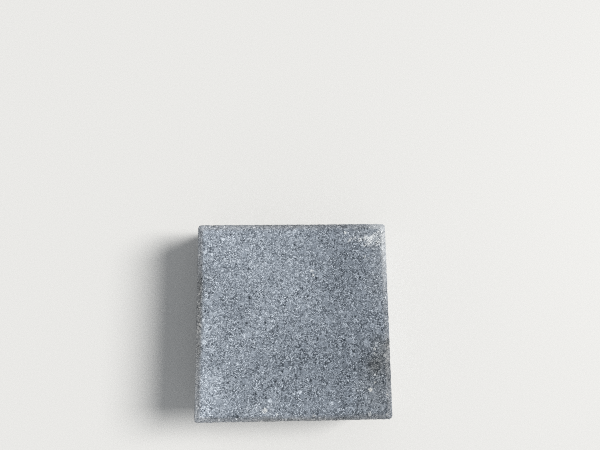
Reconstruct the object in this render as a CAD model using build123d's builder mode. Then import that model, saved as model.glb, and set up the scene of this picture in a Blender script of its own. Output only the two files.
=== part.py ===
from build123d import *
import os

# Pressed concrete paving stone, square, with a bevelled top edge and spacer ribs cast on its sides.
# Millimetres. The origin is the middle of the underside, +Z is up and the walked-on face is on top.
# +X and +Y run along two sides of the stone.

# Laying grid: one stone and one joint fill one module
laying_module = 200.0
joint_width = 1.5

# Body
thickness = 60.0
corner_radius = 4.0

# Bevel round the walked-on face
bevel_width = 6.0
bevel_drop = 3.0
face_corner_radius = 1.5

# Spacer ribs: upright ribs as proud as the joint is wide, which stop well below the bevel
rib_height = 44.0
rib_run_out = 8.0
rib_foot_width = 11.0
rib_crest_width = 7.0
rib_crest_round = 0.8
rib_root = 2.0

# Each side carries two ribs, off centre by unlike amounts, and every side has the same layout.
# A neighbour laid in line, or shifted by half a stone, then has its ribs beside these and not on them.
near_rib_offset = -35.0
far_rib_offset = 60.0

side = laying_module - joint_width
shoulder_height = thickness - bevel_drop
face_side = side - 2 * bevel_width

# One spacer rib, standing on the plane X = 0 with its crest facing +X and its root behind that plane
with BuildPart() as spacer_rib:
    # Cut level: a trapezoid with rounded crest corners
    with BuildSketch(Plane.XY):
        with BuildLine():
            Polyline(
                (-rib_root, -rib_foot_width / 2),
                (0, -rib_foot_width / 2),
                (joint_width, -rib_crest_width / 2),
                (joint_width, rib_crest_width / 2),
                (0, rib_foot_width / 2),
                (-rib_root, rib_foot_width / 2),
                close=True,
            )
        make_face()
    extrude(amount=rib_height)
    crest_edges = spacer_rib.edges().filter_by(Axis.Z).group_by(Axis.X)[-1]
    fillet(crest_edges, radius=rib_crest_round)

    # Cut upright: straight from the underside, then sloping back into the body
    with BuildSketch(Plane.XZ):
        with BuildLine():
            Polyline(
                (-rib_root, 0),
                (joint_width, 0),
                (joint_width, rib_height - rib_run_out),
                (0, rib_height),
                (-rib_root, rib_height),
                close=True,
            )
        make_face()
    extrude(amount=rib_foot_width, both=True, mode=Mode.INTERSECT)

with BuildPart() as paving_stone:
    # Straight-sided block up to the shoulder, as it leaves the mould
    with BuildSketch(Plane.XY):
        RectangleRounded(side, side, corner_radius)
    extrude(amount=shoulder_height)

    # Bevelled cap from the shoulder to the walked-on face
    with BuildSketch(Plane.XY.offset(shoulder_height)):
        RectangleRounded(side, side, corner_radius)
    with BuildSketch(Plane.XY.offset(thickness)):
        RectangleRounded(face_side, face_side, face_corner_radius)
    loft(ruled=True)

    # Two spacer ribs on each of the four sides
    with PolarLocations(side / 2, 4):
        with Locations((0, near_rib_offset), (0, far_rib_offset)):
            add(spacer_rib.part)

paving_stone.part.label = "paving_stone"

os.makedirs("parts", exist_ok=True)
export_step(paving_stone.part, "parts/paving_stone.step")

print(f"paving_stone: {len(paving_stone.part.solids())} solid, {paving_stone.part.volume:.0f} mm3")
print(f"box: {paving_stone.part.bounding_box().size}")
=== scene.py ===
import bpy
import numpy as np
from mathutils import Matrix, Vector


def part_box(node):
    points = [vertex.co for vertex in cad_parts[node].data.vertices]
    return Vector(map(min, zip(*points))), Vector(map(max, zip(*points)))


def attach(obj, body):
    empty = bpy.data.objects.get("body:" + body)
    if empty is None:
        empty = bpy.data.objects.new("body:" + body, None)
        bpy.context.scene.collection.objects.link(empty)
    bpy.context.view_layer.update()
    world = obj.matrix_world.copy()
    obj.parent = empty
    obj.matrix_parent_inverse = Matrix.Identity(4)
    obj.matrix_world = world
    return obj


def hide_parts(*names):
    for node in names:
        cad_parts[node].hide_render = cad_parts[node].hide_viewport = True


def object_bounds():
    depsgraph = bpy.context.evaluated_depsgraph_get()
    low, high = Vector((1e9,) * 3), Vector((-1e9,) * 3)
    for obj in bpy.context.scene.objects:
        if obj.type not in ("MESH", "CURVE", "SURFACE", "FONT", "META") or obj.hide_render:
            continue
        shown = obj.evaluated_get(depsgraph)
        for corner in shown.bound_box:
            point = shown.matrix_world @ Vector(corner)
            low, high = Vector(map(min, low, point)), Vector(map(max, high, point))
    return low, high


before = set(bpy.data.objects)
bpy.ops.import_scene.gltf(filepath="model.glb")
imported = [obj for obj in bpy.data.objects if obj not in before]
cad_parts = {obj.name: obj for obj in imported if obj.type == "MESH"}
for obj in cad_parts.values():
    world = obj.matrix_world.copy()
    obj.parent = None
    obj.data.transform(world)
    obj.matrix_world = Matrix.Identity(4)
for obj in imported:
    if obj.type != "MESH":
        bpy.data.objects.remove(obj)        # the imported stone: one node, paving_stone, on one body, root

cadLow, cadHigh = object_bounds()      # the CAD box, which the finished stone stays inside
mm = 0.001

# Lengths are metres, +Z is up, +X is to the picture's right and +Y to its top.


# Small tools for node trees. They serve the shaping nodes and the shader alike.
def addNode(tree, kind, **settings):
    node = tree.nodes.new(kind)
    for name, value in settings.items():
        setattr(node, name, value)
    return node


def feed(tree, value, socket):      # a socket takes a link, or a plain value
    if isinstance(value, bpy.types.NodeSocket):
        tree.links.new(value, socket)
    else:
        socket.default_value = value


def calc(tree, operation, *values, clamp=False):
    node = addNode(tree, "ShaderNodeMath", operation=operation, use_clamp=clamp)
    for value, socket in zip(values, node.inputs):
        feed(tree, value, socket)
    return node.outputs[0]


def addUp(tree, *values):
    total = values[0]
    for value in values[1:]:
        total = calc(tree, "ADD", total, value)
    return total


def times(tree, *values):
    product = values[0]
    for value in values[1:]:
        product = calc(tree, "MULTIPLY", product, value)
    return product


def swing(tree, value, strength, middle=0.5):      # how far it is from its middle, times a strength
    return times(tree, calc(tree, "SUBTRACT", value, middle), strength)


def ranged(tree, share, low, high):      # low at share 0, high at share 1, where both are plain numbers
    return calc(tree, "MULTIPLY_ADD", share, high - low, low)


def between(tree, share, low, high):      # the same, where low and high may be links too
    node = addNode(tree, "ShaderNodeMix", data_type="FLOAT")
    for value, number in zip((share, low, high), (0, 2, 3)):      # its sockets for plain values
        feed(tree, value, node.inputs[number])
    return node.outputs[0]


def fade(tree, value, start, end, atStart=0.0, atEnd=1.0):      # a soft step
    node = addNode(tree, "ShaderNodeMapRange", interpolation_type="SMOOTHSTEP")
    for item, socket in zip((value, start, end, atStart, atEnd), node.inputs):
        feed(tree, item, socket)
    return node.outputs[0]


def vectorCalc(tree, operation, first, second=None):
    node = addNode(tree, "ShaderNodeVectorMath", operation=operation)
    feed(tree, first, node.inputs[0])
    if second is not None:
        feed(tree, second, node.inputs["Scale"] if operation == "SCALE" else node.inputs[1])
    return node.outputs["Value" if operation in ("LENGTH", "DISTANCE") else "Vector"]


def split(tree, vector):
    node = addNode(tree, "ShaderNodeSeparateXYZ")
    tree.links.new(vector, node.inputs[0])
    return node.outputs


def farFrom(tree, place, middle, halfWidth, halfHeight):      # 0 at the middle of an oval, 1 on its rim
    off = vectorCalc(tree, "SUBTRACT", place, middle)
    off = vectorCalc(tree, "MULTIPLY", off, (1 / halfWidth, 1 / halfHeight, 0.0))
    return vectorCalc(tree, "LENGTH", off)


def noise(tree, place, size, detail):
    node = addNode(tree, "ShaderNodeTexNoise")
    feed(tree, place, node.inputs["Vector"])
    node.inputs["Scale"].default_value = 1 / size
    node.inputs["Detail"].default_value = detail
    return node


def cloud(tree, place, size, detail=2.0):      # soft noise from 0 to 1, in lumps of this size
    return noise(tree, place, size, detail).outputs[0]


def ragged(tree, place, size, reach, detail=1.0):      # places pushed about, for ragged outlines
    push = noise(tree, place, size, detail).outputs["Color"]
    push = vectorCalc(tree, "SUBTRACT", push, (0.5, 0.5, 0.5))
    return vectorCalc(tree, "ADD", place, vectorCalc(tree, "SCALE", push, reach))


def cells(tree, place, size):      # how far off the middle of its cell, and the cell's random numbers
    node = addNode(tree, "ShaderNodeTexVoronoi")
    feed(tree, place, node.inputs["Vector"])
    node.inputs["Scale"].default_value = 1 / size
    return node.outputs["Distance"], split(tree, node.outputs["Color"])


# The stone's own form, as the mould gives it
stone = {
    "node": "paving_stone",
    "ribDepth": 1.5 * mm,
    "wearAllowance": 0.55 * mm,      # wear only takes away, so the sides start out this much fuller
    "ribPlaces": (-35 * mm, 60 * mm),
    "ribFoot": 11 * mm,
    "ribCrest": 7 * mm,
    "ribHeight": 44 * mm,
    "ribRunOut": 8 * mm,
    "bevelWidth": 6 * mm,
    "bevelDrop": 3 * mm,
    "cornerRadius": 4 * mm,
    "faceCornerRadius": 1.5 * mm,
    "faceEdgeSoftness": 1.5 * mm,      # how far each edge is worn round, either way along the section
    "shoulderSoftness": 1.0 * mm,
    "footSoftness": 1.1 * mm,
    "wearSoftness": 3.0 * mm,      # wear eats in along directions that turn round an edge this gently
    "softnessSamples": 21,      # points of the sharp section that are averaged for one of the soft one
    "faceRings": 106,      # rings of faces from the middle to the edge of the walked-on face
    "bevelRings": 8,
    "sideRows": 34,
    "rowCrowding": 0.35,      # rows lie closer together near the shoulder and the foot
    "footInset": 1.7 * mm,      # where the underside's coarser faces begin
    "bevelBlend": 4 * mm,      # the face's skin turns into the bevel's over this far, either way
    "bevelFade": 2 * mm,      # the bevel's skin ends this far below the shoulder
    "sideBlend": (-0.5 * mm, 1.5 * mm),      # and the side's starts and is full this far below it
    "bedBlend": 1 * mm,      # and turns into the underside's over this far, either way
    "crumbleReach": 3 * mm,      # edges crumble this far in
    "uprightReach": 5 * mm,      # and upright edges where they are nearer than this to both sides
}


def level(value, start, end):      # a ramp from 0 to 1
    return np.clip((value - start) / (end - start), 0, 1)


# The cut section from the middle of the face over bevel and side to the middle of the underside:
# half the stone's width, the corners as (inset from the side, height), and how far along each one is
def sectionLine(low, high):
    width, drop = stone["bevelWidth"], stone["bevelDrop"]
    half = (high.x - low.x) / 2 - stone["ribDepth"] + stone["wearAllowance"]
    points = np.array([(half, high.z), (width, high.z), (0, high.z - drop), (0, low.z), (half, low.z)])
    lengths = np.hypot(*np.diff(points, axis=0).T)
    along = np.concatenate([[0], np.cumsum(lengths)]) - lengths[0]      # 0 at the face's edge
    return half, points, along


def softSection(steps, points, along, softness):      # the section with its corners worn round
    nearest = np.abs(steps[:, None] - along[1:4]).argmin(1)
    spread = np.linspace(-1, 1, stone["softnessSamples"])
    window = steps[:, None] + np.array(softness)[nearest][:, None] * spread
    inset = np.interp(window, along, points[:, 0]).mean(1)
    height = np.interp(window, along, points[:, 1]).mean(1)
    return inset, height


def roundedSquare(across, up, half, radius):      # lays points of a plain square's rim on a rounded one
    x, y = across * half, up * half
    centre = half - radius
    inCorner = (np.abs(x) > centre) & (np.abs(y) > centre) & (radius > 0)
    offX, offY = np.abs(x) - centre, np.abs(y) - centre
    reach = radius / np.where(inCorner, np.hypot(offX, offY), 1)
    x = np.where(inCorner, np.sign(x) * (centre + offX * reach), x)
    y = np.where(inCorner, np.sign(y) * (centre + offY * reach), y)
    return x, y


def ringGrid(count):      # a square lattice, read as rings round its middle
    number = np.arange(count + 1) - count / 2
    across, up = np.meshgrid(number, number, indexing="ij")
    ring = np.maximum(np.abs(across), np.abs(up))
    safe = np.maximum(ring, 0.5)      # the middle point is ring 0
    return across / safe, up / safe, ring.astype(int)


def rimOf(count):      # the lattice's rim, anticlockwise from above
    run = np.arange(count)
    lattice = np.arange((count + 1) ** 2).reshape(count + 1, count + 1)
    sides = [lattice[run, 0], lattice[count, run], lattice[count - run, count], lattice[0, count - run]]
    return np.concatenate(sides)


def ribPush(x, y, z):      # how far the spacer ribs stand out at a point of the side, and which way
    wayX = np.where(np.abs(x) >= np.abs(y), np.sign(x), 0)
    wayY = np.where(wayX == 0, np.sign(y), 0)
    alongSide = y * wayX - x * wayY      # every side carries the same layout, a quarter turn on
    flank = (stone["ribFoot"] - stone["ribCrest"]) / 2
    upright = np.clip((stone["ribHeight"] - z) / stone["ribRunOut"], 0, 1)
    proud = stone["ribDepth"] - stone["wearAllowance"]
    push = np.zeros_like(x)
    for place in stone["ribPlaces"]:
        across = np.clip((stone["ribFoot"] / 2 - np.abs(alongSide - place)) / flank, 0, 1)
        push = np.maximum(push, proud * np.minimum(across, upright))
    return push, wayX, wayY


# The stone before wear and grain: its points, how far along the section each one is and how much on a
# rib, how far along its three edges are, and the faces
def mouldedStone(softness):
    low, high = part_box(stone["node"])
    half, points, along = sectionLine(low, high)
    faceEdge, shoulder, foot = along[1:4]
    faceRings, bevelRings, rows = stone["faceRings"], stone["bevelRings"], stone["sideRows"]
    rings = faceRings + bevelRings
    count = 2 * rings

    faceSteps = np.linspace(along[0], faceEdge, faceRings + 1)
    bevelSteps = np.linspace(faceEdge, shoulder, bevelRings + 1)[1:]
    part = np.arange(1, rows + 1) / rows
    crowded = part - stone["rowCrowding"] * np.sin(2 * np.pi * part) / (2 * np.pi)
    rowSteps = shoulder + (foot - shoulder) * crowded
    coarseSteps = np.linspace(along[4], foot + stone["footInset"], rings // 2 + 1)

    def laid(across, up, steps, radius):
        inset, height = softSection(steps, points, along, softness)
        x, y = roundedSquare(across, up, half - inset, radius)
        return np.stack([x, y, height], 1)

    across, up, ring = (a.ravel() for a in ringGrid(count))
    topSteps = np.concatenate([faceSteps, bevelSteps])[ring]
    cornerRadius, faceCornerRadius = stone["cornerRadius"], stone["faceCornerRadius"]
    slope = (cornerRadius - faceCornerRadius) / (shoulder - faceEdge)
    topRadius = np.where(topSteps > faceEdge, faceCornerRadius + slope * (topSteps - faceEdge),
                         faceCornerRadius + topSteps - faceEdge)
    top = laid(across, up, topSteps, np.maximum(topRadius, 0))

    rim = rimOf(count)
    rimAcross, rimUp = np.tile(across[rim], rows), np.tile(up[rim], rows)
    sideSteps = np.repeat(rowSteps, len(rim))
    side = laid(rimAcross, rimUp, sideSteps, np.full(len(sideSteps), cornerRadius))
    push, wayX, wayY = ribPush(*side.T)
    side[:, 0] += push * wayX
    side[:, 1] += push * wayY

    across, up, ring = (a.ravel() for a in ringGrid(count // 2))
    bedSteps = coarseSteps[ring]
    bedRadius = np.maximum(cornerRadius - (bedSteps - foot), 0)
    bed = laid(across, up, bedSteps, bedRadius)

    vertices = np.concatenate([top, side, bed])
    run = np.concatenate([topSteps, sideSteps, bedSteps])
    ribShare = np.concatenate([np.zeros(len(top)), push / push.max(), np.zeros(len(bed))])
    faces = stitched(count, rows, rim, len(top), len(top) + len(side))
    return vertices, run, ribShare, (faceEdge, shoulder, foot), faces


def stitched(count, rows, rim, sideStart, bedStart):      # top, sides and underside as one closed skin
    def tiles(side, start, downward):
        lattice = start + np.arange((side + 1) ** 2).reshape(side + 1, side + 1)
        a, b, c, d = lattice[:-1, :-1], lattice[1:, :-1], lattice[1:, 1:], lattice[:-1, 1:]
        order = (a, d, c, b) if downward else (a, b, c, d)
        return np.stack([o.ravel() for o in order], 1).tolist()

    faces = tiles(count, 0, False) + tiles(count // 2, bedStart, True)
    above = rim
    for row in range(rows):
        below = sideStart + row * len(rim) + np.arange(len(rim))
        faces += np.stack([above, below, np.roll(below, -1), np.roll(above, -1)], 1).tolist()
        above = below
    coarse = bedStart + rimOf(count // 2)      # each coarse face meets two fine ones
    nextCoarse = np.roll(coarse, -1)
    first, middle, last = above[0::2], above[1::2], np.roll(above, -2)[0::2]
    for order in ((first, coarse, middle), (middle, coarse, nextCoarse), (middle, nextCoarse, last)):
        faces += np.stack(order, 1).tolist()
    return faces


def writeAttribute(mesh, name, values):      # three numbers for each point
    made = mesh.attributes.new(name, "FLOAT_VECTOR", "POINT")
    made.data.foreach_set("vector", np.ascontiguousarray(values, np.float32).ravel())


def buildStone():
    edgeSoftness = [stone["faceEdgeSoftness"], stone["shoulderSoftness"], stone["footSoftness"]]
    vertices, run, ribShare, (faceEdge, shoulder, foot), faces = mouldedStone(edgeSoftness)
    softer = mouldedStone([stone["wearSoftness"]] * 3)[0]
    mesh = bpy.data.meshes.new("pavingStoneSurface")
    mesh.from_pydata(softer.tolist(), [], faces)
    mesh.shade_smooth()
    piece = bpy.data.objects.new("paving_stone_surface", mesh)
    bpy.context.scene.collection.objects.link(piece)

    outWay = np.empty(len(vertices) * 3, np.float32)
    mesh.vertex_normals.foreach_get("vector", outWay)
    mesh.vertices.foreach_set("co", vertices.astype(np.float32).ravel())
    mesh.update()
    writeAttribute(mesh, "restPlace", vertices)
    writeAttribute(mesh, "outWay", outWay)

    # How much each point belongs to the bevel, the side and the underside
    bedShare = level(run, foot - stone["bedBlend"], foot + stone["bedBlend"])
    sideStart, sideFull = stone["sideBlend"]
    sideShare = level(run, shoulder + sideStart, shoulder + sideFull) * (1 - bedShare)
    bevelShare = level(run, faceEdge - stone["bevelBlend"], faceEdge + stone["bevelBlend"])
    bevelShare *= 1 - level(run, shoulder, shoulder + stone["bevelFade"])
    writeAttribute(mesh, "skin", np.stack([bevelShare, sideShare, bedShare], 1))

    # How near an edge that crumbles it is, and how much on a rib
    reach = stone["crumbleReach"]
    upright = np.minimum(np.abs(vertices[:, 0]), np.abs(vertices[:, 1]))
    upright = upright - (cadHigh.x - stone["ribDepth"] - stone["uprightReach"])
    nearEdge = 1 - np.minimum(np.abs(run - shoulder), np.abs(run - foot)) / reach
    nearEdge = np.maximum(nearEdge, np.where(run > shoulder, upright / reach, 0))
    writeAttribute(mesh, "wear", np.stack([np.clip(nearEdge, 0, 1), ribShare, np.zeros_like(run)], 1))
    print(f"moulded stone: {len(vertices)} points, {len(faces)} faces")
    return piece


# Grains of the face spill over onto the bevel, and back
bevelSpill = {
    "size": 3.2 * mm,
    "strength": 0.45,
    "rim": (0.3, 0.75),      # a pair that lies closer together gives a sharper rim
}


def raggedBevel(tree, place, share):
    strength = bevelSpill["strength"]
    spill = ranged(tree, cloud(tree, place, bevelSpill["size"]), -strength, strength)
    return fade(tree, calc(tree, "ADD", share, spill), *bevelSpill["rim"])


# Grain, as large as the real one. The same cells and clouds shape the surface and colour it.
# A flank or a rim runs inward from its first number to its second, both in shares of the cell's size.
grain = {
    "fineSize": 0.95 * mm,
    "fineFlank": (0.75, 0.1),
    "fineLowest": 0.4,      # height of the flattest fine grains, where the tallest have 1
    "coarseSize": 2.8 * mm,
    "coarseFlank": (0.55, 0.1),
    "coarseRim": (0.56, 0.46),      # of its colour
    "coarseShare": 0.42,      # how many of the coarse cells hold a coarse grain
    "brightShare": 0.045,      # how many hold a grain of pale quartz instead
    "brightReach": (0.30, 0.65),      # half width of the smallest such grain and of the largest
    "brightMiddle": 0.2,      # the part of it that is fully pale
    "wander": 1.0 * mm,      # how far noise pushes the grains out of their round shape
    "wanderSize": 1.3 * mm,
    "poreSize": 6.0 * mm,
    "poreShare": 0.38,
    "poreReach": (0.12, 0.34),      # half width of the smallest pore and of the largest
    "poreSpread": 2.0,      # a higher power makes more of the pores small
    "poreMiddle": 0.08,      # the part of it that is fully deep
    "creaseSize": 5.5 * mm,      # creases wander between the grains, where the mix was pressed less
    "creaseLevel": 0.46,      # they follow this height of a soft noise
    "creaseWidth": 0.045,
    "creaseGap": (0.5, 0.15),      # and open where the fine grains are lower than this
    "creasePatch": 5 * mm,      # they show only here and there, in patches of this size
    "patchEdge": (0.44, 0.60),      # noise levels where a patch starts and is full
    "smearSize": 7.5 * mm,      # here and there the cement paste was smeared smooth over the grains
    "smearShare": 0.18,
    "smearRim": (0.46, 0.30),
}


def grains(tree, place):
    bent = ragged(tree, place, grain["wanderSize"], grain["wander"], detail=3.0)
    fineOff, fineRandom = cells(tree, bent, grain["fineSize"])
    coarseOff, coarseRandom = cells(tree, bent, grain["coarseSize"])
    fineTop = ranged(tree, fineRandom[1], grain["fineLowest"], 1.0)
    fineHeight = times(tree, fade(tree, fineOff, *grain["fineFlank"]), fineTop)
    there = calc(tree, "LESS_THAN", coarseRandom[2], grain["coarseShare"])
    coarseHeight = times(tree, fade(tree, coarseOff, *grain["coarseFlank"]), there)
    bright = calc(tree, "GREATER_THAN", coarseRandom[2], 1 - grain["brightShare"])
    brightReach = ranged(tree, coarseRandom[1], *grain["brightReach"])
    poreOff, poreRandom = cells(tree, bent, grain["poreSize"])
    pored = calc(tree, "LESS_THAN", poreRandom[0], grain["poreShare"])
    poreReach = calc(tree, "POWER", poreRandom[1], grain["poreSpread"])
    poreReach = ranged(tree, poreReach, *grain["poreReach"])
    wave = calc(tree, "SUBTRACT", cloud(tree, bent, grain["creaseSize"]), grain["creaseLevel"])
    creases = fade(tree, calc(tree, "ABSOLUTE", wave), grain["creaseWidth"], 0.0)
    creases = times(tree, creases, fade(tree, fineHeight, *grain["creaseGap"]))
    patches = fade(tree, cloud(tree, place, grain["creasePatch"], detail=1.0), *grain["patchEdge"])
    smearOff, smearRandom = cells(tree, bent, grain["smearSize"])
    smeared = calc(tree, "LESS_THAN", smearRandom[2], grain["smearShare"])
    return {
        "fineHeight": fineHeight,
        "coarseHeight": coarseHeight,
        "fineRandom": fineRandom[0],
        "coarseRandom": coarseRandom[0],
        "coarseThere": times(tree, there, fade(tree, coarseOff, *grain["coarseRim"])),
        "bright": times(tree, bright, fade(tree, coarseOff, brightReach, grain["brightMiddle"])),
        "pores": times(tree, fade(tree, poreOff, poreReach, grain["poreMiddle"]), pored),
        "creases": times(tree, creases, patches),
        "smears": times(tree, fade(tree, smearOff, *grain["smearRim"]), smeared),
        "smearRandom": smearRandom[0],
    }


# Pits and pale flecks of the walked-on face that are seen one by one: x, y and half width in
# millimetres, and how strong each one is
marks = {
    "pits": [(17, -60, 1.7, 1.5), (24, 42, 1.5, 1.0), (-48, -3, 1.6, 1.1), (-55, -8, 1.4, 1.1),
             (15, 24, 1.3, 1.0), (-19, -60, 1.5, 0.9), (32, -44, 1.6, 0.9), (-10, 15, 1.3, 1.0),
             (-39, -73, 1.4, 1.0), (-45, 23, 1.5, 1.0), (74, 82, 1.4, 0.8), (77, -45, 2.0, 0.9)],
    "flecks": [(6, -71, 2.3, 1.0), (-24, -79, 2.2, 1.5), (38, -82, 1.9, 1.1), (-50, -15, 1.9, 1.1),
               (-56, -43, 1.9, 1.4), (-73, 84, 1.9, 1.3), (-90, -21, 2.4, 0.7), (2, 92, 2.2, 1.0),
               (-91, 70, 2.2, 1.0), (-89, 28, 2.2, 0.7), (85, -25, 2.0, 1.0), (-84, 68, 1.7, 1.3),
               (-71, 63, 1.5, 1.0), (83, -55, 1.8, 0.8)],
    "dustyFlecks": [(77, -70, 1.9, 1.7), (56, 90, 1.9, 1.3), (-29, -88, 3.0, 1.3), (76, -93, 2.2, 0.9),
                    (20, 50, 1.8, 1.1), (21.5, 45.5, 1.5, 1.5), (83, -30, 1.5, 1.0),
                    (83.5, -34.5, 1.3, 1.4), (93, -37, 1.5, 0.8), (82, -62.5, 1.5, 1.2),
                    (94.5, -75, 1.5, 0.9), (-16.5, -92.3, 1.7, 0.8), (20, -94, 1.7, 0.9),
                    (93.5, -94.3, 1.4, 0.7)],
    "raggedSize": 1.6 * mm,
    "raggedReach": 3.2 * mm,
    "rim": (1.3, 0.5),      # a mark starts and is full at these shares of its half width
}


def spots(tree, place, kind):      # the strength of each mark at its middle, 0 away from them all
    bent = ragged(tree, place, marks["raggedSize"], marks["raggedReach"])
    start, full = marks["rim"]
    total = 0.0
    for x, y, reach, strength in marks[kind]:
        away = vectorCalc(tree, "DISTANCE", bent, (x * mm, y * mm, cadHigh.z))
        near = fade(tree, away, reach * start * mm, reach * full * mm, 0.0, strength)
        total = calc(tree, "MAXIMUM", total, near)
    return total


# The body under the fine top mix shows on the sides and the underside: larger stones, with gaps
# between them
core = {
    "stoneSize": 6.5 * mm,
    "stoneShare": 0.4,
    "stoneRim": (0.55, 0.42),
    "raggedSize": 3.0 * mm,
    "raggedReach": 3.0 * mm,
    "gapSize": 3.0 * mm,
    "gapEdge": (0.36, 0.30),      # a lower pair of numbers leaves fewer gaps
    "gapStretch": 0.75,      # the gaps are torn upright too
    "gapHeight": (50 * mm, 46 * mm),      # the top mix above the first height is packed tight
    "ribPacked": 0.75,      # the ribs are packed tighter than the rest of the side, with fewer gaps
    "dragSize": 1.7 * mm,
    "dragStretch": 0.045,      # upright streaks, left where the stone slid out of its mould
}


def coreMix(tree, place, ribShare):
    bent = ragged(tree, place, core["raggedSize"], core["raggedReach"])
    stoneOff, stoneRandom = cells(tree, bent, core["stoneSize"])
    there = calc(tree, "LESS_THAN", stoneRandom[2], core["stoneShare"])
    below = fade(tree, split(tree, bent)[2], *core["gapHeight"])
    stones = times(tree, there, fade(tree, stoneOff, *core["stoneRim"]))
    torn = vectorCalc(tree, "MULTIPLY", place, (1.0, 1.0, core["gapStretch"]))
    gaps = fade(tree, cloud(tree, torn, core["gapSize"]), *core["gapEdge"])
    loose = ranged(tree, ribShare, 1.0, 1 - core["ribPacked"])
    stretched = vectorCalc(tree, "MULTIPLY", place, (1.0, 1.0, core["dragStretch"]))
    return {
        "stones": times(tree, stones, below),
        "stoneRandom": stoneRandom[0],
        "gaps": times(tree, gaps, below, loose),
        "drags": cloud(tree, stretched, core["dragSize"], detail=3.0),
    }


# How deep wear, pores and grain go, in millimetres, always inward from the moulded form. An edge is the
# pair of noise levels that a cut starts at and is full at.
relief = {
    "coarseGrain": 0.30,
    "lumps": 0.40,
    "lumpSize": 1.9 * mm,
    "lumpEdge": (0.72, 0.28),
    "creases": 0.20,
    "slowWave": 0.18,
    "slowWaveSize": 45 * mm,
    "poreDepth": 1.0,
    "chipDepth": 1.1,
    "chipSize": 5 * mm,
    "chipEdge": (0.6, 0.75),
    "crumbleDepth": 0.75,
    "crumbleSize": 2.2 * mm,
    "crumbleEdge": (0.45, 0.75),
    "bevelCalm": 0.5,      # how much of the face's relief the pressed bevel keeps
    "dragDepth": 0.28,
    "dragEdge": (0.68, 0.36),
    "sideGrain": 0.16,
    "sideLumpEdge": (0.65, 0.3),
    "gapDepth": 0.9,
    "bedLumps": 0.7,
    "bedLumpSize": 4 * mm,
    "bedLumpEdge": (0.62, 0.3),
}


def wearTree():
    tree = bpy.data.node_groups.new("wearAndGrain", "GeometryNodeTree")
    tree.interface.new_socket("Geometry", in_out="INPUT", socket_type="NodeSocketGeometry")
    tree.interface.new_socket("Geometry", in_out="OUTPUT", socket_type="NodeSocketGeometry")

    def stored(name):
        node = addNode(tree, "GeometryNodeInputNamedAttribute", data_type="FLOAT_VECTOR")
        node.inputs["Name"].default_value = name
        return node.outputs["Attribute"]

    def cut(height, edge, depth):
        return times(tree, fade(tree, height, *edge), depth)

    place = stored("restPlace")
    bevel, side, bed = split(tree, stored("skin"))
    bevel = raggedBevel(tree, place, bevel)
    nearEdge, ribShare = split(tree, stored("wear"))[:2]
    made = grains(tree, place)

    lumps = cloud(tree, place, relief["lumpSize"], detail=1.5)
    hollow = calc(tree, "SUBTRACT", 1.0, made["coarseHeight"])
    face = addUp(tree, times(tree, hollow, relief["coarseGrain"]),
                 cut(lumps, relief["lumpEdge"], relief["lumps"]),
                 times(tree, made["creases"], relief["creases"]))

    inside = coreMix(tree, place, ribShare)
    gaps = times(tree, inside["gaps"], relief["gapDepth"])
    sideWear = addUp(tree, cut(inside["drags"], relief["dragEdge"], relief["dragDepth"]),
                     times(tree, hollow, relief["sideGrain"]),
                     cut(lumps, relief["sideLumpEdge"], relief["sideGrain"]), gaps)
    bedLumps = cloud(tree, place, relief["bedLumpSize"], detail=3.0)
    bedWear = addUp(tree, cut(bedLumps, relief["bedLumpEdge"], relief["bedLumps"]), gaps)

    chips = cloud(tree, place, relief["chipSize"], detail=1.0)
    crumbs = cloud(tree, place, relief["crumbleSize"], detail=1.0)
    edgeWear = addUp(tree, cut(chips, relief["chipEdge"], relief["chipDepth"]),
                     cut(crumbs, relief["crumbleEdge"], relief["crumbleDepth"]))

    body = between(tree, bevel, face, times(tree, face, relief["bevelCalm"]))
    body = between(tree, side, body, sideWear)
    body = between(tree, bed, body, bedWear)
    holes = calc(tree, "MAXIMUM", made["pores"], spots(tree, place, "pits"))
    slow = cloud(tree, place, relief["slowWaveSize"], detail=1.0)
    depth = addUp(tree, body, times(tree, holes, relief["poreDepth"]),
                  times(tree, slow, relief["slowWave"]), times(tree, edgeWear, nearEdge))
    inward = times(tree, depth, -mm)

    start, end = addNode(tree, "NodeGroupInput"), addNode(tree, "NodeGroupOutput")
    shift = addNode(tree, "GeometryNodeSetPosition")
    tree.links.new(start.outputs[0], shift.inputs["Geometry"])
    tree.links.new(vectorCalc(tree, "SCALE", stored("outWay"), inward), shift.inputs["Offset"])
    tree.links.new(shift.outputs["Geometry"], end.inputs[0])
    return tree


def wearStone(piece):      # the nodes shape the surface once, and the result becomes the piece's mesh
    shaping = piece.modifiers.new("wearAndGrain", "NODES")
    shaping.node_group = wearTree()
    graph = bpy.context.evaluated_depsgraph_get()
    shaped = bpy.data.meshes.new_from_object(
        piece.evaluated_get(graph), preserve_all_data_layers=True, depsgraph=graph)
    piece.modifiers.remove(shaping)
    shaped.name = piece.data.name
    piece.data = shaped
    print("grain, pores and worn edges shaped")


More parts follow.
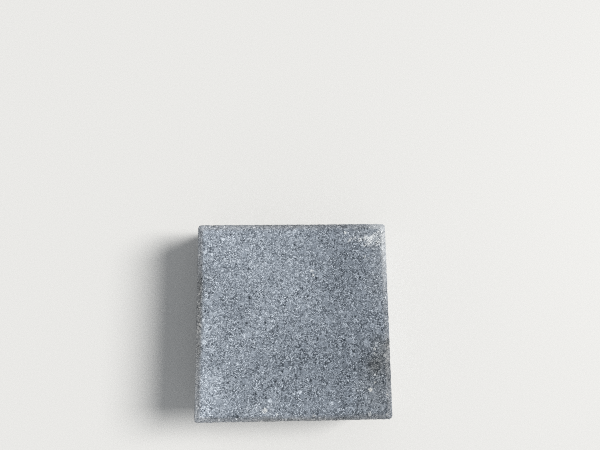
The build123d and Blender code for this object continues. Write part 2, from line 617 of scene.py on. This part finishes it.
# Colours as linear red, green, blue, and how strongly each thing lightens or darkens the concrete.
# Tone runs from 0, the darkest crevice, to 1, the lightest grain.
finish = {
    "tones": [
        (0.00, (0.030, 0.040, 0.053)),
        (0.22, (0.104, 0.123, 0.148)),
        (0.50, (0.243, 0.279, 0.327)),
        (0.78, (0.464, 0.513, 0.573)),
        (1.00, (0.717, 0.775, 0.840)),
    ],
    "middleTone": 0.545,
    "fineGrain": 0.575,
    "coarseGrain": 0.34,
    "coarseMiddle": 0.45,      # below 0.5, a few more of the coarse grains are light than dark
    "sideCoarse": 0.55,      # how much of the coarse grains' tone the side keeps
    # Painted shade: the hollows between the fine grains are darkened and their tops paled, by grain height
    "creviceShade": 0.42,
    "creviceLevel": 0.45,      # the height of a fine grain that neither lightens nor darkens
    # Painted shade along the creases between the grains
    "creaseShade": 0.32,
    "uneven": (0.85, 1.18),      # the grain stands out less in some places and more in others
    "unevenSize": 15 * mm,
    "unevenRim": (0.32, 0.68),
    "smearCalm": 0.45,
    "smearTone": 0.16,
    "bright": 0.66,
    "sideBright": 0.34,
    # Painted shade: pores and pits are darkened beyond what their shallow relief shades
    "poreShade": 0.29,
    "fleck": 0.30,
    "fleckDust": 0.42,
    "ribRubAndHighlight": 0.12,      # the crests of the ribs are rubbed paler, and painted paler still as a highlight that shows their form in shade
    "speck": 0.56,
    "speckSize": 0.6 * mm,
    "mottle": 0.17,
    "mottleSize": 9 * mm,
    "slowMottle": 0.06,
    "slowMottleSize": 48 * mm,
    "rightDarker": 0.166,      # from the left edge to the right one
    "footDarker": 0.036,      # from the top edge to the bottom one
    "dustTint": (1.085, 1.0, 0.885),
    "bevelTint": (1.050, 1.0, 0.953),
    "bevelTone": -0.03,
    "bevelCalm": 0.72,
    "sideTint": (1.06, 1.0, 0.94),
    "sideTone": -0.035,
    "sideCalm": 0.62,
    "sideDust": 0.5,      # dust of the joint, on the upper part of the sides
    "sideDustHeight": (30 * mm, 56 * mm),      # where it starts and where it is full
    "sideDustEvenness": 0.8,      # lower numbers leave it in fainter patches
    "dragTone": 0.30,
    "coreStone": 0.26,
    # Painted shade: the gaps between the body's stones are darkened
    "coreGapShade": 0.19,
    "bedTint": (1.06, 1.0, 0.90),
    "bedTone": 0.02,
    "roughness": (0.78, 0.96),      # of the smoothest grains and of most others
    "smoothGrains": 0.55,      # grains whose random number is above this are smoother
    "specular": 0.35,
    "bump": 0.30,      # millimetres that a fine grain stands up in the shading
    "speckBump": 0.6,
    "bevelBump": 0.5,      # how much of the face's bump the bevel keeps
    "dragBump": 0.9,
    "gapBump": 0.9,
}

# Stains on the walked-on face and its bevel, and a painted joint shadow along its top edge: middle, half
# width and half height in millimetres, change of tone, and warmth, where 1 turns the blue grey to the
# colour of dust
stainsAndShadow = {
    "places": {
        "saltCorner": ((85, 85), (25, 12), 0.07, 0.3),
        "saltRim": ((90, 50), (12, 50), 0.06, 0.2),
        "paleTop": ((-70, 87), (28, 20), 0.04, 0.0),
        "paleLeft": ((-90, -10), (18, 20), 0.10, 0.0),
        "paleFootCorner": ((-85, -75), (25, 35), 0.13, 0.0),
        "dirtRoundRight": ((85, -45), (28, 28), -0.09, 0.15),
        "dirtRight": ((83, -46), (8.5, 11), -0.065, 0.6),
        "dullRight": ((86, -28), (8, 17), -0.075, 0.3),
        "jointDirtRight": ((97.5, -24), (2.5, 6), -0.13, 0.3),
        "dustFootRight": ((86, -72), (22, 30), 0.0, 0.32),
        "dustRight": ((95, -36), (8, 20), 0.05, 0.5),
        "dullUpperRight": ((48, 48), (20, 28), -0.05, 0.0),
        "dullLeft": ((-57, 10), (14, 26), -0.05, 0.0),
        "dullLowerLeft": ((-62, -62), (8, 8), -0.09, 0.0),
        "dullMiddle": ((29, -13), (9, 9), -0.05, 0.0),
        "paleUpperLeft": ((-25, 40), (9, 20), 0.045, 0.0),
        "paleMiddle": ((-15, 50), (55, 70), 0.05, 0.0),
        "paleFoot": ((-32, -85), (18, 10), 0.07, 0.1),
        "dullFoot": ((30, -48), (65, 28), -0.03, 0.0),
        "dullUpperLeft": ((-93, 40), (16, 22), -0.07, 0.1),
        "dustLeft": ((-98, 0), (6, 78), 0.0, 0.5),
        "jointDirtLeft": ((-95, 4), (4, 42), -0.07, 0.15),
        "jointDirtLowerLeft": ((-95, -29), (4, 9), -0.11, 0.2),
        "creaseLeft": ((-93.8, -72), (1.9, 26), -0.11, 0.1),
        "jointDirtUpperLeft": ((-95, 37), (4, 13), -0.07, 0.2),
        "paleBevelFootCorner": ((-96, -92), (5, 13), 0.09, 0.0),
        "dustFoot": ((6, -98.4), (96, 2.2), -0.04, 0.5),
        "wornArrisLeft": ((-98.6, -62), (2.6, 36), 0.13, 0.0),
        "wornArrisUpperLeft": ((-98.6, 68), (2.4, 26), 0.11, 0.0),
        # Painted shadow of the joint along the top edge, with a little dust colour
        "jointShadowAndDustTop": ((-8, 99.2), (74, 3.4), -0.13, 0.3),
        "paleBevelCorner": ((-95.5, 92), (4.5, 9), 0.08, 0.0),
        "wornArrisFoot": ((0, -98.8), (100, 1.6), 0.07, 0.0),
        "creaseFoot": ((-62, -94.2), (36, 1.8), -0.12, 0.0),
        "jointDirtFoot": ((-84, -96), (17, 4), -0.10, 0.1),
        "jointDirtMiddleFoot": ((-26, -96), (7, 3), -0.10, 0.25),
        "jointDirtRightFoot": ((72, -94), (28, 3.5), -0.06, 0.1),
    },
    "rim": (1.35, 0.2),      # a stain starts and is full at these shares of its half width
    "tongueSize": 14 * mm,      # ragged tongues reach out round a stain
    "tongueReach": 26 * mm,
    "narrow": 9,      # but a stain less wide or high than this, in millimetres, keeps its shape
}


def stainAndShadowMarks(tree, place):      # the change of tone and the warmth that the stains and the painted joint shadow give together
    tone, warmth = 0.0, 0.0
    bent = ragged(tree, place, stainsAndShadow["tongueSize"], stainsAndShadow["tongueReach"], detail=3.0)
    for (x, y), (halfWidth, halfHeight), change, warm in stainsAndShadow["places"].values():
        start = place if min(halfWidth, halfHeight) < stainsAndShadow["narrow"] else bent
        far = farFrom(tree, start, (x * mm, y * mm, 0.0), halfWidth * mm, halfHeight * mm)
        amount = fade(tree, far, *stainsAndShadow["rim"])
        tone = calc(tree, "MULTIPLY_ADD", amount, change, tone)
        if warm:
            warmth = calc(tree, "MULTIPLY_ADD", amount, warm, warmth)
    return tone, warmth


# Lime salts that dried in the upper right corner. They lie in brushed strokes: middle, half length and
# half width in millimetres, and how thick the crust is. A thin haze covers the bevel round that corner.
salt = {
    "strokes": [(83.5, 84, 5.2, 2.2, 0.92), (78, 84, 3.0, 2.0, 0.78), (82, 78.5, 3.2, 1.1, 0.75),
                (77, 77, 2.4, 1.0, 0.7), (91.5, 79.5, 3.6, 2.2, 0.75), (92, 90, 4.6, 2.8, 0.62),
                (71, 82, 2.6, 1.6, 0.80), (66, 83.5, 2.0, 1.2, 0.75), (60.5, 82, 2.4, 1.3, 0.75),
                (76, 64, 1.8, 0.9, 0.7), (79, 62, 1.6, 0.8, 0.6)],
    "strokeWay": (0.67, 0.74),      # the strokes lie along this direction, up to the right
    "strokeRim": (2.0, 0.3),      # a stroke starts and is full at these shares of its half width
    "streakSize": (5.0, 1.5),      # millimetres along and across a stroke
    "colour": (0.80, 0.825, 0.84),
    "strength": 0.82,
    "spread": 0.58,      # how much the strokes raise the crust above its streaks
    "grainy": 0.52,      # how much the crust keeps to single grains
    "crustEdge": (0.91, 1.33),      # a lower pair of numbers leaves more of the crust
    "thinnest": 0.3,      # and it ends where a stroke is thinner than this
    "rimHeight": (20 * mm, 85 * mm),      # the haze on the right bevel starts here and is full here
    "rimWest": (77 * mm, 92 * mm),      # and so does that on the upper bevel
    "rimRight": (90.5 * mm, 96.5 * mm),      # across the right bevel
    "rimUpper": (92 * mm, 95 * mm),      # across the upper bevel
    "rimStrength": 0.32,
    "rimPatches": (0.5, 1.4),      # shares of that strength where the haze is thinnest and thickest
    "rimPatchRim": (0.3, 0.7),
}


def saltBloom(tree, place, made):
    x, y = split(tree, place)[:2]
    wayX, wayY = salt["strokeWay"]
    turn = addNode(tree, "ShaderNodeCombineXYZ")      # millimetres along and across the strokes
    feed(tree, calc(tree, "MULTIPLY_ADD", x, wayX / mm, times(tree, y, wayY / mm)), turn.inputs[0])
    feed(tree, calc(tree, "MULTIPLY_ADD", x, -wayY / mm, times(tree, y, wayX / mm)), turn.inputs[1])
    turned = turn.outputs[0]
    sizeAlong, sizeAcross = salt["streakSize"]
    stretched = vectorCalc(tree, "MULTIPLY", turned, (1 / sizeAlong, 1 / sizeAcross, 0.0))
    streaks = cloud(tree, stretched, 1.0, detail=4.0)
    near = 0.0
    for middleX, middleY, halfLength, halfWidth, thickness in salt["strokes"]:
        middle = (middleX * wayX + middleY * wayY, middleY * wayX - middleX * wayY, 0.0)
        far = farFrom(tree, turned, middle, halfLength, halfWidth)
        near = calc(tree, "MAXIMUM", near, fade(tree, far, *salt["strokeRim"], 0.0, thickness))
    crust = calc(tree, "MULTIPLY_ADD", near, salt["spread"], streaks)
    crust = calc(tree, "MULTIPLY_ADD", made["fineRandom"], salt["grainy"], crust)
    bloom = fade(tree, crust, *salt["crustEdge"], 0.0, salt["strength"])
    bloom = times(tree, bloom, fade(tree, near, 0.0, salt["thinnest"]))
    rightRim = times(tree, fade(tree, x, *salt["rimRight"]), fade(tree, y, *salt["rimHeight"]))
    upperRim = times(tree, fade(tree, y, *salt["rimUpper"]), fade(tree, x, *salt["rimWest"]))
    thin, thick = (salt["rimStrength"] * share for share in salt["rimPatches"])
    patches = fade(tree, streaks, *salt["rimPatchRim"], thin, thick)
    rim = times(tree, calc(tree, "MAXIMUM", rightRim, upperRim), patches)
    return calc(tree, "MAXIMUM", bloom, rim, clamp=True)


def coloured(tree, share, under, over, blend="MIX"):      # one plain colour over what lies under it
    node = addNode(tree, "ShaderNodeMix", data_type="RGBA", blend_type=blend)
    tree.links.new(share, node.inputs[0])
    tree.links.new(under, node.inputs[6])      # its two colour sockets
    node.inputs[7].default_value = (*over, 1)
    return node.outputs[2]


def grainTones(tree, place, made, bevel, side):      # how the grains light and darken, with painted shade in their hollows and creases, and their specks
    fine = swing(tree, made["fineRandom"], finish["fineGrain"])
    coarse = swing(tree, made["coarseRandom"], finish["coarseGrain"], finish["coarseMiddle"])
    coarse = times(tree, coarse, made["coarseThere"], between(tree, side, 1.0, finish["sideCoarse"]))
    # Painted shade in the hollows between the fine grains
    creviceShade = swing(tree, made["fineHeight"], finish["creviceShade"], finish["creviceLevel"])
    # Painted shade: the creases are darkened
    creaseShade = times(tree, made["creases"], -finish["creaseShade"])
    speck = swing(tree, cloud(tree, place, finish["speckSize"], detail=1.0), finish["speck"])
    bright = times(tree, made["bright"], between(tree, side, finish["bright"], finish["sideBright"]))
    together = addUp(tree, fine, coarse, creviceShade, creaseShade, speck, bright)

    calm = between(tree, side, between(tree, bevel, 1.0, finish["bevelCalm"]), finish["sideCalm"])
    unevenness = cloud(tree, place, finish["unevenSize"])
    uneven = fade(tree, unevenness, *finish["unevenRim"], *finish["uneven"])
    calm = times(tree, calm, uneven, between(tree, made["smears"], 1.0, finish["smearCalm"]))
    smear = swing(tree, made["smearRandom"], finish["smearTone"])
    return calc(tree, "MULTIPLY_ADD", smear, made["smears"], times(tree, together, calm)), speck


def concreteFinish():
    material = bpy.data.materials.new("granularConcrete")
    material.use_nodes = True
    tree = material.node_tree
    tree.nodes.clear()

    def stored(name):
        node = addNode(tree, "ShaderNodeAttribute", attribute_type="GEOMETRY", attribute_name=name)
        return node.outputs["Vector"]

    def addShare(amount, strength, total):
        return calc(tree, "MULTIPLY_ADD", amount, strength, total)

    place = stored("restPlace")
    bevel, side, bed = split(tree, stored("skin"))
    bevel = raggedBevel(tree, place, bevel)
    ribShare = split(tree, stored("wear"))[1]
    coreShare = calc(tree, "ADD", side, bed, clamp=True)
    faceShare = calc(tree, "SUBTRACT", 1.0, coreShare)
    made = grains(tree, place)
    inside = coreMix(tree, place, ribShare)

    # Tone of the grains, of single marks, and of the body's larger stones, gaps and streaks, with painted
    # shade in the pores, pits and gaps and a painted highlight on the rib crests
    tone, speck = grainTones(tree, place, made, bevel, side)
    holes = calc(tree, "MAXIMUM", made["pores"], spots(tree, place, "pits"))
    dustyFlecks = spots(tree, place, "dustyFlecks")
    flecks = calc(tree, "MAXIMUM", dustyFlecks, spots(tree, place, "flecks"))
    # Painted shade in the pores and pits
    tone = addShare(holes, -finish["poreShade"], tone)
    tone = addShare(flecks, finish["fleck"], tone)
    # Rubbing and a painted highlight: the ribs are lightened
    tone = addShare(ribShare, finish["ribRubAndHighlight"], tone)
    tone = addShare(swing(tree, inside["drags"], finish["dragTone"]), side, tone)
    stoneTone = times(tree, swing(tree, inside["stoneRandom"], finish["coreStone"]), inside["stones"])
    # Painted shade in the gaps of the body
    stoneTone = addShare(inside["gaps"], -finish["coreGapShade"], stoneTone)
    tone = addShare(stoneTone, coreShare, tone)

    # Slower changes: mottling, the lean across the face, stains and a painted joint shadow, dust, and the
    # tone of each skin
    mottle = calc(tree, "SUBTRACT", cloud(tree, place, finish["mottleSize"], detail=3.0), 0.5)
    slowMottle = swing(tree, cloud(tree, place, finish["slowMottleSize"]), finish["slowMottle"])
    x, y, z = split(tree, place)
    width = cadHigh.x - cadLow.x
    lean = addUp(tree, times(tree, x, -finish["rightDarker"] / width),
                 times(tree, y, finish["footDarker"] / width))
    stainAndShadowTone, warmth = stainAndShadowMarks(tree, place)
    faceTone = times(tree, calc(tree, "ADD", stainAndShadowTone, lean), faceShare)
    warmth = times(tree, addShare(dustyFlecks, finish["fleckDust"], warmth), faceShare)
    dust = times(tree, fade(tree, z, *finish["sideDustHeight"], 0.0, finish["sideDust"]), side)
    dustPatches = calc(tree, "ADD", mottle, finish["sideDustEvenness"])
    warmth = calc(tree, "MULTIPLY_ADD", dust, dustPatches, warmth, clamp=True)
    skinTone = times(tree, bevel, finish["bevelTone"])
    skinTone = addShare(side, finish["sideTone"], skinTone)
    skinTone = addShare(bed, finish["bedTone"], skinTone)
    tone = addUp(tree, tone, times(tree, mottle, finish["mottle"]), slowMottle, faceTone, skinTone,
                 finish["middleTone"])

    ramp = addNode(tree, "ShaderNodeValToRGB")
    tree.links.new(tone, ramp.inputs[0])
    elements = ramp.color_ramp.elements
    while len(elements) < len(finish["tones"]):
        elements.new(0.5)
    for element, (position, colour) in zip(elements, finish["tones"]):
        element.position = position
        element.color = (*colour, 1)
    colour = ramp.outputs[0]
    tints = ((bevel, "bevelTint"), (warmth, "dustTint"), (side, "sideTint"), (bed, "bedTint"))
    for share, tint in tints:
        colour = coloured(tree, share, colour, finish[tint], "MULTIPLY")
    crust = times(tree, saltBloom(tree, place, made), faceShare)
    colour = coloured(tree, crust, colour, salt["colour"])

    shader = addNode(tree, "ShaderNodeBsdfPrincipled")
    roughness = fade(tree, made["fineRandom"], 1.0, finish["smoothGrains"], *finish["roughness"])
    tree.links.new(colour, shader.inputs["Base Color"])
    tree.links.new(roughness, shader.inputs["Roughness"])
    shader.inputs["Specular IOR Level"].default_value = finish["specular"]

    height = addUp(tree, times(tree, made["fineHeight"], finish["bump"]),
                   times(tree, speck, finish["speckBump"]))
    height = times(tree, height, between(tree, bevel, 1.0, finish["bevelBump"]))
    coreHeight = addUp(tree, times(tree, inside["drags"], finish["dragBump"]),
                       times(tree, inside["gaps"], -finish["gapBump"]))
    bump = addNode(tree, "ShaderNodeBump")
    bump.inputs["Distance"].default_value = mm
    tree.links.new(addShare(coreHeight, coreShare, height), bump.inputs["Height"])
    tree.links.new(bump.outputs[0], shader.inputs["Normal"])

    out = addNode(tree, "ShaderNodeOutputMaterial")
    tree.links.new(shader.outputs[0], out.inputs["Surface"])
    print("granular concrete mixed")
    return material


# The pale studio floor
floor = {"reach": 3.0, "colour": (0.74, 0.735, 0.72), "roughness": 0.7}


def layFloor():
    reach = floor["reach"]
    mesh = bpy.data.meshes.new("studioFloor")
    corners = [(-reach, -reach, 0), (reach, -reach, 0), (reach, reach, 0), (-reach, reach, 0)]
    mesh.from_pydata(corners, [], [(0, 1, 2, 3)])
    ground = bpy.data.objects.new("studio_floor", mesh)
    bpy.context.scene.collection.objects.link(ground)
    material = bpy.data.materials.new("palePlaster")
    material.use_nodes = True
    shader = material.node_tree.nodes["Principled BSDF"]
    shader.inputs["Base Color"].default_value = (*floor["colour"], 1)
    shader.inputs["Roughness"].default_value = floor["roughness"]
    mesh.materials.append(material)
    print("floor laid")


# Soft light that comes low from the right and a little from the top, as it falls on the real stone
light = {
    "keyFrom": (3.0, 0.65, 2.4),      # the way the soft key light comes from
    "keySpread": 26.0,      # degrees across, which sets how soft the shadow is
    "keyStrength": 3.86,
    "keyColour": (1.0, 0.985, 0.96),
    "skyColour": (0.90, 0.95, 1.0),
    "skyStrength": 0.32,
    "hazeColour": (1.0, 0.995, 0.98),      # a pale haze lies low round the studio, as a backdrop
    "hazeStrength": 0.80,
    "hazeHeight": (0.24, 0.50),      # where it starts and ends fading upwards; 1 is straight overhead
}


def setLights():
    key = bpy.data.lights.new("softKey", "SUN")
    key.angle = np.radians(light["keySpread"])
    key.energy = light["keyStrength"]
    key.color = light["keyColour"]
    stand = bpy.data.objects.new("softKey", key)
    stand.location = light["keyFrom"]
    stand.rotation_euler = stand.location.to_track_quat("Z", "Y").to_euler()
    bpy.context.scene.collection.objects.link(stand)
    world = bpy.data.worlds.new("softSky")
    world.use_nodes = True
    tree = world.node_tree
    overhead, surround = tree.nodes["Background"], addNode(tree, "ShaderNodeBackground")
    for sky, name in ((overhead, "sky"), (surround, "haze")):
        sky.inputs[0].default_value = (*light[name + "Colour"], 1)
        sky.inputs[1].default_value = light[name + "Strength"]
    way = addNode(tree, "ShaderNodeTexCoord").outputs["Generated"]
    risen = fade(tree, split(tree, way)[2], *light["hazeHeight"])
    blended = addNode(tree, "ShaderNodeMixShader")
    for output, number in ((risen, 0), (surround.outputs[0], 1), (overhead.outputs[0], 2)):
        tree.links.new(output, blended.inputs[number])
    tree.links.new(blended.outputs[0], tree.nodes["World Output"].inputs[0])
    bpy.context.scene.world = world
    bpy.context.scene.view_settings.view_transform = "Standard"
    print("lights set")


# The viewpoint of the photograph: nearly straight down, from about half a metre
camera = {
    "place": (-6.21 * mm, 28.37 * mm, 530.1 * mm),
    "turn": (8.476, -1.661, -0.640),      # degrees about X, Y and Z
    "lens": 27.0,
    "sensor": 36.0,
    "nearest": 0.01,      # it sees from this far
    "farthest": 20,      # to this far
    "pixelSpread": 1.0,      # a narrow filter keeps the grain as crisp as in the photograph
}


def setCamera():
    lens = bpy.data.cameras.new("photoView")
    lens.lens = camera["lens"]
    lens.sensor_width = camera["sensor"]
    lens.clip_start = camera["nearest"]
    lens.clip_end = camera["farthest"]
    eye = bpy.data.objects.new("photoView", lens)
    bpy.context.scene.collection.objects.link(eye)
    eye.location = camera["place"]
    eye.rotation_euler = np.radians(camera["turn"])
    bpy.context.scene.camera = eye
    bpy.context.scene.cycles.filter_width = camera["pixelSpread"]
    bpy.context.scene.cycles.use_denoising = False
    print("camera set")


setCamera()
piece = buildStone()
wearStone(piece)
piece.data.materials.append(concreteFinish())
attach(piece, "root")
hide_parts(stone["node"])
layFloor()
setLights()
